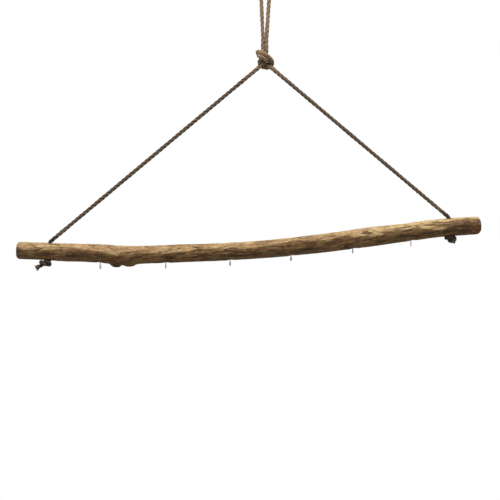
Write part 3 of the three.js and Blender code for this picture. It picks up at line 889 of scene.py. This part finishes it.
def wood_material():
    n = Nodes("bare_weathered_wood")
    grain = n.attribute("grain")
    grain_x = n.parts(grain)[0]
    stain_and_shade = n.parts(n.attribute("stain_and_shade"))
    fine = n.noise(n.stretched(grain, (130, 1700, 1700)), 4.0, 0.62)
    coarse = n.noise(n.stretched(grain, (30, 300, 300), (3, 1, 4)), 4.0, 0.6, 0.3)
    tint = n.noise(n.stretched(grain, (38, 120, 120), (1, 8, 5)), 2.0, 0.5)
    streak = n.noise(n.stretched(grain, (30, 620, 620), (5, 5, 1)), 2.0, 0.5)

    brown = n.mix(n.ramp(tint, 0.38, 0.62), (0.19, 0.108, 0.042), (0.14, 0.088, 0.036))
    tan = n.mix(n.ramp(tint, 0.36, 0.62), (0.47, 0.325, 0.155), (0.36, 0.215, 0.1))
    yellow = n.ramp(grain_x, *YELLOW_WOOD, 0.0, 0.55)
    tan = n.mix(yellow, tan, (0.62, 0.45, 0.215))
    # paleness carries the pale worn wood and the painted light on the top side
    paleness = n.math("ADD", stain_and_shade[1], n.math("MULTIPLY", n.math("SUBTRACT", coarse, 0.5), 1.3))
    base = n.mix(n.ramp(paleness, 0.1, 0.95), brown, tan)
    redness = n.math("MULTIPLY", stain_and_shade[2], n.ramp(coarse, 0.32, 0.6, 0.35, 0.8))
    base = n.mix(redness, base, (0.16, 0.066, 0.027))
    speckle = n.noise(n.stretched(grain, (110, 420, 420), (2, 6, 3)), 3.0, 0.65)
    fine_lines = n.ramp(fine, 0.3, 0.66, 0.6, 1.2)
    lines = n.math("MULTIPLY", fine_lines, n.ramp(speckle, 0.33, 0.64, 0.62, 1.22))
    base = n.mix(1.0, base, n.add("ShaderNodeCombineXYZ", inputs={
        0: lines, 1: lines, 2: lines}).outputs[0], "MULTIPLY")
    cracks = n.ramp(streak, 0.37, 0.3)
    base = n.mix(n.math("MULTIPLY", cracks, 0.75), base, (0.035, 0.018, 0.008))
    # x of the second vector: dark knots and streaks with painted shade, mixed towards near black
    darkness = n.math("MULTIPLY", stain_and_shade[0], n.ramp(coarse, 0.3, 0.62, 1.0, 0.55))
    base = n.mix(n.ramp(darkness, 0.08, 0.9, 0.0, 0.95), base, (0.04, 0.02, 0.009))
    height = n.math("SUBTRACT", n.math("ADD", n.math("MULTIPLY", fine, 0.5), coarse),
                    n.math("MULTIPLY", cracks, 1.4))
    return n.finish({
        "Base Color": base,
        "Roughness": n.ramp(coarse, 0.3, 0.7, 0.82, 0.55),
        "Specular IOR Level": 0.14,
        "Normal": n.bump(height, 0.7, 0.6 * MM),
    })


def grow_branch():
    points, faces = branch_shell()
    branch = make_mesh("weathered_branch", points, faces)
    drill(branch)
    spots = np.empty(len(branch.data.vertices) * 3)
    branch.data.vertices.foreach_get("co", spots)
    grain, stain_and_shade = wood_vectors(spots.reshape(-1, 3))
    add_vectors(branch.data, {"grain": grain, "stain_and_shade": stain_and_shade})
    branch.data.materials.clear()
    branch.data.materials.append(wood_material())
    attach(branch, "branch")
    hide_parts("branch")


# ---- screw eyes -------------------------------------------------------------------------------

WIRE_RADIUS = 0.85 * MM
RING_RADIUS = 2.9 * MM
THREAD_LENGTH = 9.6 * MM
THREAD_PITCH = 1.6 * MM
THREAD_DEPTH = 0.35 * MM
THREAD_SHARPNESS = 2.6              # the ridges fill 2 / 2.6 of the pitch
THREAD_FADE = 1.5 * MM              # the thread runs out over this length
TIP_LENGTH = 3.2 * MM               # the point widens to the wire over this length
NECK_LENGTH = 1.4 * MM              # straight wire between the ring and the bend above it
RING_START, RING_END = 28, 346      # degrees from the top of the ring that the wire goes round
WIRE_STEP = 0.18 * MM
WIRE_SIDES = 20


def eye_direction(node, ring_height):
    """The level direction in the plane of a CAD eye's ring."""
    mesh = frame["nodes"][node].data
    spots = np.array([vertex.co for vertex in mesh.vertices])
    ring = spots[spots[:, 2] < ring_height][:, :2]
    ring = ring - ring.mean(axis=0)
    _, directions = np.linalg.eigh(ring.T @ ring)
    way = directions[:, 1]
    return np.array([way[0], way[1], 0.0]) * (1 if way[1] > 0 else -1)


def eye_path(top, bottom, way):
    """Centre of the wire: down the shank, then round the ring until it meets the neck again."""
    middle = bottom + (WIRE_RADIUS + RING_RADIUS) * UP
    shank_end = middle + (WIRE_RADIUS + RING_RADIUS + NECK_LENGTH) * UP
    shank = [top + share * (shank_end - top) for share in np.linspace(0, 1, 60)]
    turns = np.radians(np.linspace(RING_START, RING_END, 70))
    ring = [middle + RING_RADIUS * (math.sin(a) * way + math.cos(a) * UP) for a in turns]
    return np.array(shank + ring)


def screw_eye(node, material):
    """A threaded shank bent into a ring, riding on the body that turns in the branch."""
    low, high = corners(node)
    x, y, _ = middle_of(node)
    top, bottom = np.array([x, y, high[2]]), np.array([x, y, low[2]])
    way = eye_direction(node, low[2] + 2 * (RING_RADIUS + WIRE_RADIUS))
    path = soften(resample(eye_path(top, bottom, way), WIRE_STEP), 3.0)
    along = np.arange(len(path)) * WIRE_STEP
    tangent = unit(np.gradient(path, axis=0))
    across = np.cross(way, UP)
    side = unit(np.cross(tangent, across))
    around = 2 * math.pi * np.arange(WIRE_SIDES) / WIRE_SIDES
    phase = along[:, None] / THREAD_PITCH + around[None, :] / (2 * math.pi)
    ridge = np.clip(1 - THREAD_SHARPNESS * np.abs(phase - np.round(phase)), 0, 1)
    fade = np.clip((THREAD_LENGTH - along) / THREAD_FADE, 0, 1)[:, None]
    radius = WIRE_RADIUS + THREAD_DEPTH * ridge * fade
    point = np.clip(0.12 + along / TIP_LENGTH, 0, 1)[:, None]
    rounded = np.sqrt(np.clip((along[-1] - along) / WIRE_RADIUS + 0.02, 0, 1))[:, None]
    radius = radius * point * rounded
    rings = path[:, None] + radius[..., None] * (
        np.cos(around)[None, :, None] * side[:, None] + np.sin(around)[None, :, None] * across)
    wire = np.empty(rings.shape)
    wire[:, :, 0] = along[:, None]
    wire[:, :, 1] = np.cos(around) * WIRE_RADIUS
    wire[:, :, 2] = np.sin(around) * WIRE_RADIUS
    gathered = Gathered()
    gathered.add_rings(rings, {"wire": wire})
    eye = gathered.piece("bent_wire_" + node, material)
    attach(eye, node.replace("screw_", ""))
    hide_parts(node)


def steel_material():
    n = Nodes("bright_zinc_wire")
    wire = n.attribute("wire")
    cloud = n.noise(n.stretched(wire, (700, 900, 900)), 4.0, 0.6)
    drawn = n.noise(n.stretched(wire, (160, 5200, 5200)), 3.0, 0.5)
    colour = n.mix(n.ramp(cloud, 0.3, 0.7), (0.62, 0.61, 0.59), (0.82, 0.81, 0.79))
    colour = n.mix(n.ramp(drawn, 0.38, 0.3, 0.0, 0.6), colour, (0.25, 0.23, 0.2))
    return n.finish({
        "Base Color": colour,
        "Metallic": 0.45,
        "Roughness": n.ramp(cloud, 0.25, 0.75, 0.24, 0.5),
        "Normal": n.bump(n.math("ADD", drawn, cloud), 0.35, 0.08 * MM),
    })


# ---- room, light and camera -------------------------------------------------------------------

PICTURE_WIDTH = 0.862               # metres of the object's plane that the picture shows
PICTURE_MIDDLE = (-27.4 * MM, -536.3 * MM)      # its centre, across and up from the hook
CAMERA_DISTANCE = 3.6
SENSOR = 36.0
FLOOR_HEIGHT = -1.25
FLOOR_HALF_WIDTH = 6.0
FLOOR_PALENESS = 0.55
SKY_STRENGTH = 0.3


def plain_white(name, paleness):
    """White to the camera, and a plain pale surface to all other light."""
    n = Nodes(name)
    seen = n.add("ShaderNodeLightPath").outputs["Is Camera Ray"]
    pale = n.add("ShaderNodeBsdfDiffuse", inputs={"Color": (*[paleness] * 3, 1)})
    white = n.add("ShaderNodeEmission", inputs={"Color": (1, 1, 1, 1), "Strength": 1})
    both = n.add("ShaderNodeMixShader", inputs={0: seen, 1: pale.outputs[0], 2: white.outputs[0]})
    n.tree.links.new(both.outputs[0], n.output.inputs[0])
    return n.material


def set_room():
    half = FLOOR_HALF_WIDTH
    ways = ((-1, -1), (1, -1), (1, 1), (-1, 1))
    edge = [(x * half, y * half, FLOOR_HEIGHT) for x, y in ways]
    white = plain_white("pale_floor", FLOOR_PALENESS)
    floor = make_mesh("floor", edge, [(0, 1, 2, 3)], material=white)
    world = bpy.data.worlds.new("studio")
    bpy.context.scene.world = world
    world.use_nodes = True
    nodes, links = world.node_tree.nodes, world.node_tree.links
    nodes.clear()
    seen = nodes.new("ShaderNodeLightPath").outputs["Is Camera Ray"]
    strength = nodes.new("ShaderNodeMapRange")
    strength.inputs["To Min"].default_value = SKY_STRENGTH
    strength.inputs["To Max"].default_value = 1.0
    links.new(seen, strength.inputs["Value"])
    sky = nodes.new("ShaderNodeBackground")
    links.new(strength.outputs[0], sky.inputs["Strength"])
    sky.inputs["Color"].default_value = (1, 1, 1, 1)
    links.new(sky.outputs[0], nodes.new("ShaderNodeOutputWorld").inputs[0])


def soft_light(name, place, target, size, power):
    data = bpy.data.lights.new(name, "AREA")
    data.shape = "RECTANGLE"
    data.size, data.size_y = size
    data.energy = power
    lamp = bpy.data.objects.new(name, data)
    lamp.location = place
    lamp.rotation_euler = (Vector(target) - Vector(place)).to_track_quat("-Z", "Y").to_euler()
    bpy.context.scene.collection.objects.link(lamp)


def set_lights():
    """Place, target, width and height in metres, and power in watts of each soft light."""
    soft_light("top_light", (-0.1, -0.9, 1.1), (-0.03, 0, -0.4), (2.6, 1.0), 58)
    soft_light("back_fill", (0.2, 3.0, 1.0), (-0.03, 0, -0.5), (2.0, 1.6), 26)
    soft_light("front_fill", (0.4, -3.0, 1.0), (-0.03, 0, -0.5), (2.0, 1.6), 8)


def set_camera():
    """Straight on from the front, as the object hangs."""
    middle = Vector((PICTURE_MIDDLE[0], 0.0, PICTURE_MIDDLE[1]))
    data = bpy.data.cameras.new("camera")
    data.sensor_width = SENSOR
    data.lens = SENSOR * CAMERA_DISTANCE / PICTURE_WIDTH
    data.clip_end = 50
    camera = bpy.data.objects.new("camera", data)
    camera.location = middle + Vector((0, -CAMERA_DISTANCE, 0))
    camera.rotation_euler = (math.radians(90), 0, 0)
    bpy.context.scene.collection.objects.link(camera)
    bpy.context.scene.camera = camera


# ---- the whole scene --------------------------------------------------------------------------

hang_rope()
grow_branch()
steel = steel_material()
for eye in EYES:
    screw_eye(eye, steel)
set_room()
set_lights()
set_camera()
bpy.context.scene.view_settings.view_transform = "Standard"
